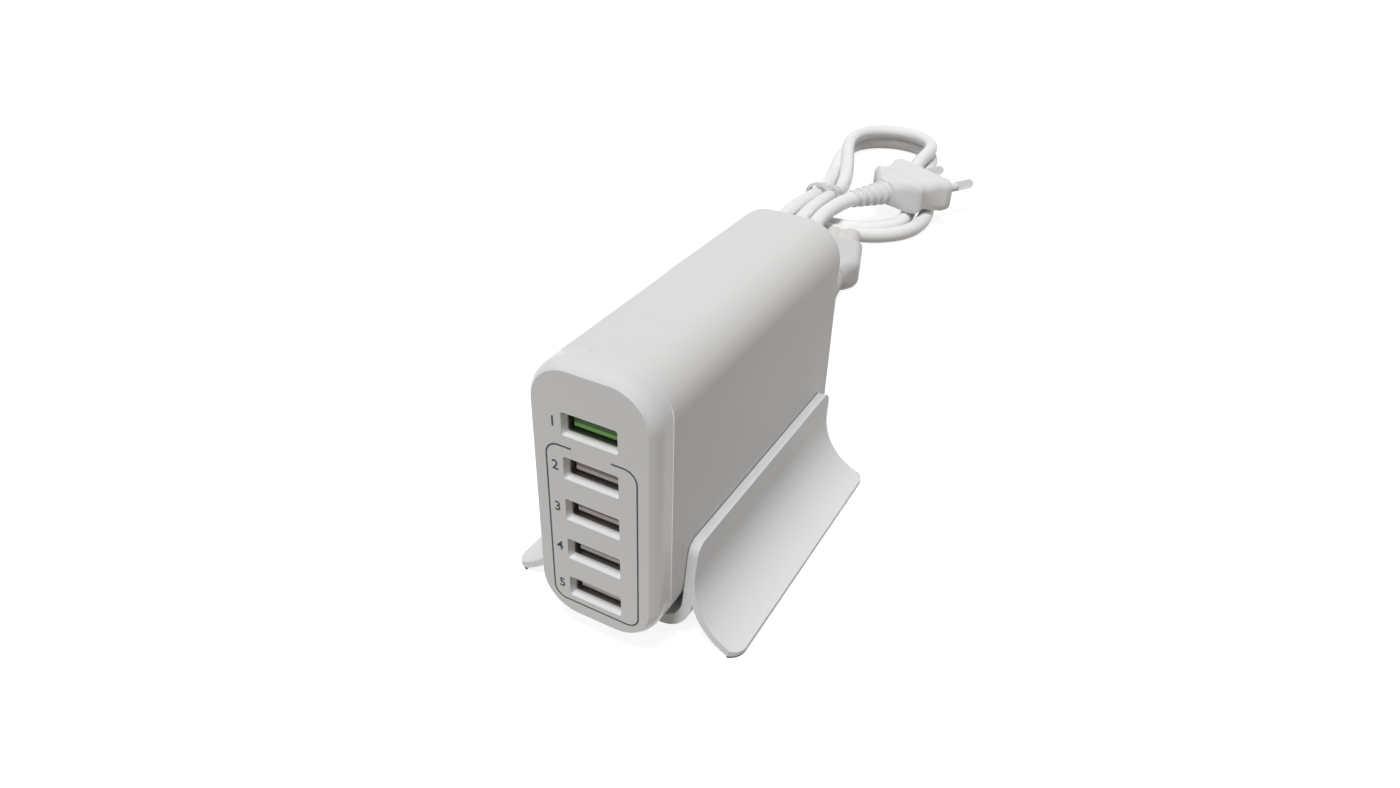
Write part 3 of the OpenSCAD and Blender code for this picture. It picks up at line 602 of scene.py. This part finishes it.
def rounded_section(half_w, half_h, corner):
    """Points of a rounded rectangle, evenly spread by direction from its four corner centres."""
    corner = min(corner, half_w, half_h)
    points = []
    for k in range(RING):
        a = 2 * math.pi * (k + 0.5) / RING
        c, d = math.cos(a), math.sin(a)
        points.append((
            math.copysign(half_w - corner, c) + corner * c,
            math.copysign(half_h - corner, d) + corner * d,
        ))
    return points


def loft(name, sections, place, turn, material):
    """Skin sections of (along, half width, half height, corner), in mm, on the axis of a lying connector."""
    c, d = math.cos(turn), math.sin(turn)
    verts, faces = [], []
    for along, half_w, half_h, corner in sections:
        for x, y in rounded_section(half_w, half_h, corner):
            spot = (-x * c - along * d, -x * d + along * c, y)
            verts.append(tuple((place[i] + spot[i]) * MM for i in range(3)))
    for i in range(len(sections) - 1):
        for k in range(RING):
            a, b = i * RING + k, i * RING + (k + 1) % RING
            faces.append((a, b, b + RING, a + RING))
    faces.append(tuple(reversed(range(RING))))
    faces.append(tuple(range((len(sections) - 1) * RING, len(sections) * RING)))
    mesh = bpy.data.meshes.new(name)
    mesh.from_pydata(verts, [], faces)
    mesh.materials.append(material)
    mesh.shade_smooth()
    piece = bpy.data.objects.new(name, mesh)
    bpy.context.scene.collection.objects.link(piece)
    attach(piece, "root")
    return piece


def ribbed(r0, r1, length, ribs, groove):
    """Sections of a strain relief: round-shouldered ribs, as shares of pitch and groove, from r0 to r1."""
    pitch = length / ribs
    sections = []
    for k in range(ribs):
        r = r0 + (r1 - r0) * k / (ribs - 1)
        for share, drop in RIB_PROFILE:
            reach = r - drop * groove
            sections.append(((k + share) * pitch, reach, reach, reach))
    return sections


def rounded_end(along, half_w, half_h, corner, edge, steps=5):
    """Sections that round off the edge of an end face."""
    sections = []
    for k in range(steps + 1):
        a = math.pi / 2 * k / steps
        inset = edge * (1 - math.cos(a))
        round_r = max(corner - inset, SHARPEST)
        sections.append((along - edge + edge * math.sin(a), half_w - inset, half_h - inset, round_r))
    return sections


# %% Connector
plug_white = moulded("plug_satin", 0.86, 0.002, 0.36, 0.0006, 0.000012)
grip_white = moulded("grip_satin", 0.70, 0.01, 0.36, 0.0006, 0.000012)
ivory = moulded("nose_ivory", 0.74, 0.06, 0.3, 0.0008, 0.000010)
dress(ivory, "connector_nose")
dress(plug_white, "plug_sleeves")
CONNECTOR_AT, CONNECTOR_TURN = (-17, 122, 5.8), math.radians(15)
RIBS, GROOVE = 5, 0.8
RELIEF, GRIP_L = 20, 24
GRIP_H, GRIP_CORNER = 5.8, 3.2
GRIP_OUTLINE = (
    (-0.4, 5.0, 5.0, 5.0), (0.2, 5.5, 5.3, 4.6), (1.5, 6.6, 5.6, 4.0), (3.2, 8.0, GRIP_H, 3.4),
    (4.8, 9.2, GRIP_H, GRIP_CORNER), (6.5, 9.8, GRIP_H, GRIP_CORNER), (9, 9.85, GRIP_H, GRIP_CORNER),
    (16, 9.5, GRIP_H, GRIP_CORNER),
)
grip_sections = ribbed(3.6, 5.0, RELIEF, RIBS, GROOVE)
grip_sections += [(RELIEF + along, *section) for along, *section in GRIP_OUTLINE]
grip_sections += rounded_end(RELIEF + GRIP_L, 9.2, GRIP_H, GRIP_CORNER, 0.8)
grip = loft("grip_moulding", grip_sections, CONNECTOR_AT, CONNECTOR_TURN, grip_white)
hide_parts("connector_grip")
print("grip:", len(grip_sections), "sections")

# %% Plug
PLUG_AT, PLUG_TURN = (-38, 201, 13.2), math.radians(-30)
PLUG_RELIEF, PLUG_L = 18, 22
HALF_W, HALF_H, EDGE_R = 17.65, 6.85, 4.0
HOLLOW_R, HOLLOW_AT, HOLLOW_X, HOLLOW_Y = 11, 11, 3.2, 0.8
PLUG_STEPS, PLUG_START, PLUG_EDGE = 40, 0.2, 1.0
EASE = 0.35


def with_hollow(along, plain, half, depth):
    """The half size at a place along the plug: the plain one, or the finger hollow where that is deeper."""
    reach = abs(along - HOLLOW_AT)
    if reach >= HOLLOW_R:
        return plain
    return min(plain, half + HOLLOW_R - depth - math.sqrt(HOLLOW_R ** 2 - reach ** 2))


def smoothed(table, along):
    """Read a value from a table of (along, value), with steps that are partly eased between its rows."""
    for (x0, v0), (x1, v1) in zip(table, table[1:]):
        if along <= x1:
            t = (along - x0) / (x1 - x0)
            return v0 + (v1 - v0) * (EASE * t * t * (3 - 2 * t) + (1 - EASE) * t)
    return table[-1][1]


WIDTHS = [(0, 6.0), (6, HALF_W - 3), (11, HALF_W), (PLUG_L, HALF_W)]
HEIGHTS = [(0, 5.0), (5, HALF_H), (PLUG_L, HALF_H)]
plug_sections = ribbed(3.7, 5.0, PLUG_RELIEF, RIBS, GROOVE) + [(PLUG_RELIEF - 0.3, 5.0, 5.0, 5.0)]
for step in range(PLUG_STEPS + 1):
    along = PLUG_START + step * (PLUG_L - PLUG_START - PLUG_EDGE - 0.2) / PLUG_STEPS
    half_w = with_hollow(along, smoothed(WIDTHS, along), HALF_W, HOLLOW_X)
    half_h = with_hollow(along, smoothed(HEIGHTS, along), HALF_H, HOLLOW_Y)
    plug_sections.append((PLUG_RELIEF + along, half_w, half_h, min(EDGE_R, half_h)))
plug_sections += rounded_end(PLUG_RELIEF + PLUG_L, HALF_W, HALF_H, EDGE_R, PLUG_EDGE)
plug = loft("plug_moulding", plug_sections, PLUG_AT, PLUG_TURN, plug_white)
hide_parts("plug_body")
print("plug:", len(plug_sections), "sections")

# %% [markdown]
# ## The tie
#
# A band of clear film holds the hank. Its solid is good enough as it stands, so it only gets a finish that
# is partly see-through, smooth, and creased by fine noise, which is what makes thin film glitter.


# %% Tie
def clear_film(name):
    finish = Finish(name)
    crease = finish.noise(0.0012, detail=3.0)
    return finish.surface(
        base_color=finish.blend(crease.clamped(), grey(0.82, -0.01), grey(0.92, -0.01)),
        roughness=crease * 0.2 + 0.12,
        transmission_weight=0.35,
        normal=finish.bump(crease, 0.00015),
    )


dress(clear_film("tie_film"), "lead_tie")
tie_low, tie_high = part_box("lead_tie")
print("tie in mm:", [round((high - low) / MM, 1) for low, high in zip(tie_low, tie_high)])

# %% [markdown]

# %% [markdown]
# ## The floor
#
# The photograph's ground is pure white, but a white floor would throw so much light up that the sides would
# lose their grey. So the floor is a dark matt one, with a white glow that only rays from the camera, from a
# mirror and through glass can see.

# %% Floor
FLOOR_HALF, FLOOR_DROP = 3.0, 0.00005
mesh = bpy.data.meshes.new("floor")
mesh.from_pydata([(-FLOOR_HALF, -FLOOR_HALF, 0), (FLOOR_HALF, -FLOOR_HALF, 0), (FLOOR_HALF, FLOOR_HALF, 0),
                  (-FLOOR_HALF, FLOOR_HALF, 0)], [], [(0, 1, 2, 3)])
floor = bpy.data.objects.new("floor", mesh)
floor.location.z = -FLOOR_DROP
bpy.context.scene.collection.objects.link(floor)


def seen_directly(finish):
    """1 for rays from the camera, from a mirror and through glass, and 0 for diffuse light."""
    path = finish.node("ShaderNodeLightPath")
    camera_ray, glossy, through = (Num(finish, path.outputs[k]) for k in (
        "Is Camera Ray", "Is Glossy Ray", "Is Transmission Ray"))
    return (camera_ray + glossy + through).clamped()


FLOOR_TONE = 0.26
FLOOR_WARMTH = 0.09
FLOOR_GLOW = 0.88
white_floor = Finish("floor_white")
matt = white_floor.node("ShaderNodeBsdfDiffuse", None, {"Color": grey(FLOOR_TONE, FLOOR_WARMTH)})
glow = white_floor.node("ShaderNodeEmission", None, {
    "Color": grey(1.0), "Strength": seen_directly(white_floor) * FLOOR_GLOW})
both = white_floor.node("ShaderNodeAddShader", None, {0: matt.outputs[0], 1: glow.outputs[0]})
white_floor.feed(white_floor.output.inputs["Surface"], both.outputs[0])
mesh.materials.append(white_floor.material)
print("floor:", 2 * FLOOR_HALF, "m wide")

# %% [markdown]
# ## Sky and lamps
#
# The light comes from above and a little from the front, so that tops are bright, the front is mid grey and
# the right side is darker. The key sun gives that without a hot spot, because mirror rays don't see it. A
# weak second sun from the front reaches the port ledges. The sky is dim for diffuse light and white for the
# other rays.

# %% Sky
SKY = 0.22
world = bpy.data.worlds.new("sky")
bpy.context.scene.world = world
world.use_nodes = True
world.node_tree.nodes.clear()


class Sky(Finish):
    """The world's graph, built with the same calls as a material."""

    def __init__(self, made):
        self.tree = made.node_tree
        self.output = self.node("ShaderNodeOutputWorld")


sky = Sky(world)
strength = seen_directly(sky) * (1 - SKY) + SKY
air = sky.node("ShaderNodeBackground", None, {"Color": grey(1.0), "Strength": strength})
sky.feed(sky.output.inputs["Surface"], air.outputs[0])


# %% Suns
def add_sun(name, aim, power, spread):
    """A sun that shines along aim; its spread, in degrees, is how wide it looks and softens the shadows."""
    data = bpy.data.lights.new(name, "SUN")
    data.energy = power
    data.angle = math.radians(spread)
    lamp = bpy.data.objects.new(name, data)
    lamp.rotation_mode = "QUATERNION"
    lamp.rotation_quaternion = Vector(aim).to_track_quat("-Z", "Y")
    bpy.context.scene.collection.objects.link(lamp)
    return lamp


KEY_FROM, KEY_POWER, KEY_SPREAD = Vector((0.03, -0.31, 0.95)), 2.0, 16
GLINT_FROM, GLINT_POWER, GLINT_SPREAD = Vector((-0.03, -0.72, 0.69)), 0.25, 14
key = add_sun("key", -KEY_FROM, KEY_POWER, KEY_SPREAD)
key.visible_glossy = False
glint = add_sun("glint", -GLINT_FROM, GLINT_POWER, GLINT_SPREAD)
print("suns:", key.name, "and", glint.name)

# %% [markdown]
# ## Colours as written, and the close
#
# The Standard view shows a colour as it is written, where Blender's default would dull the whites.

# %% Close
bpy.context.scene.view_settings.view_transform = "Standard"
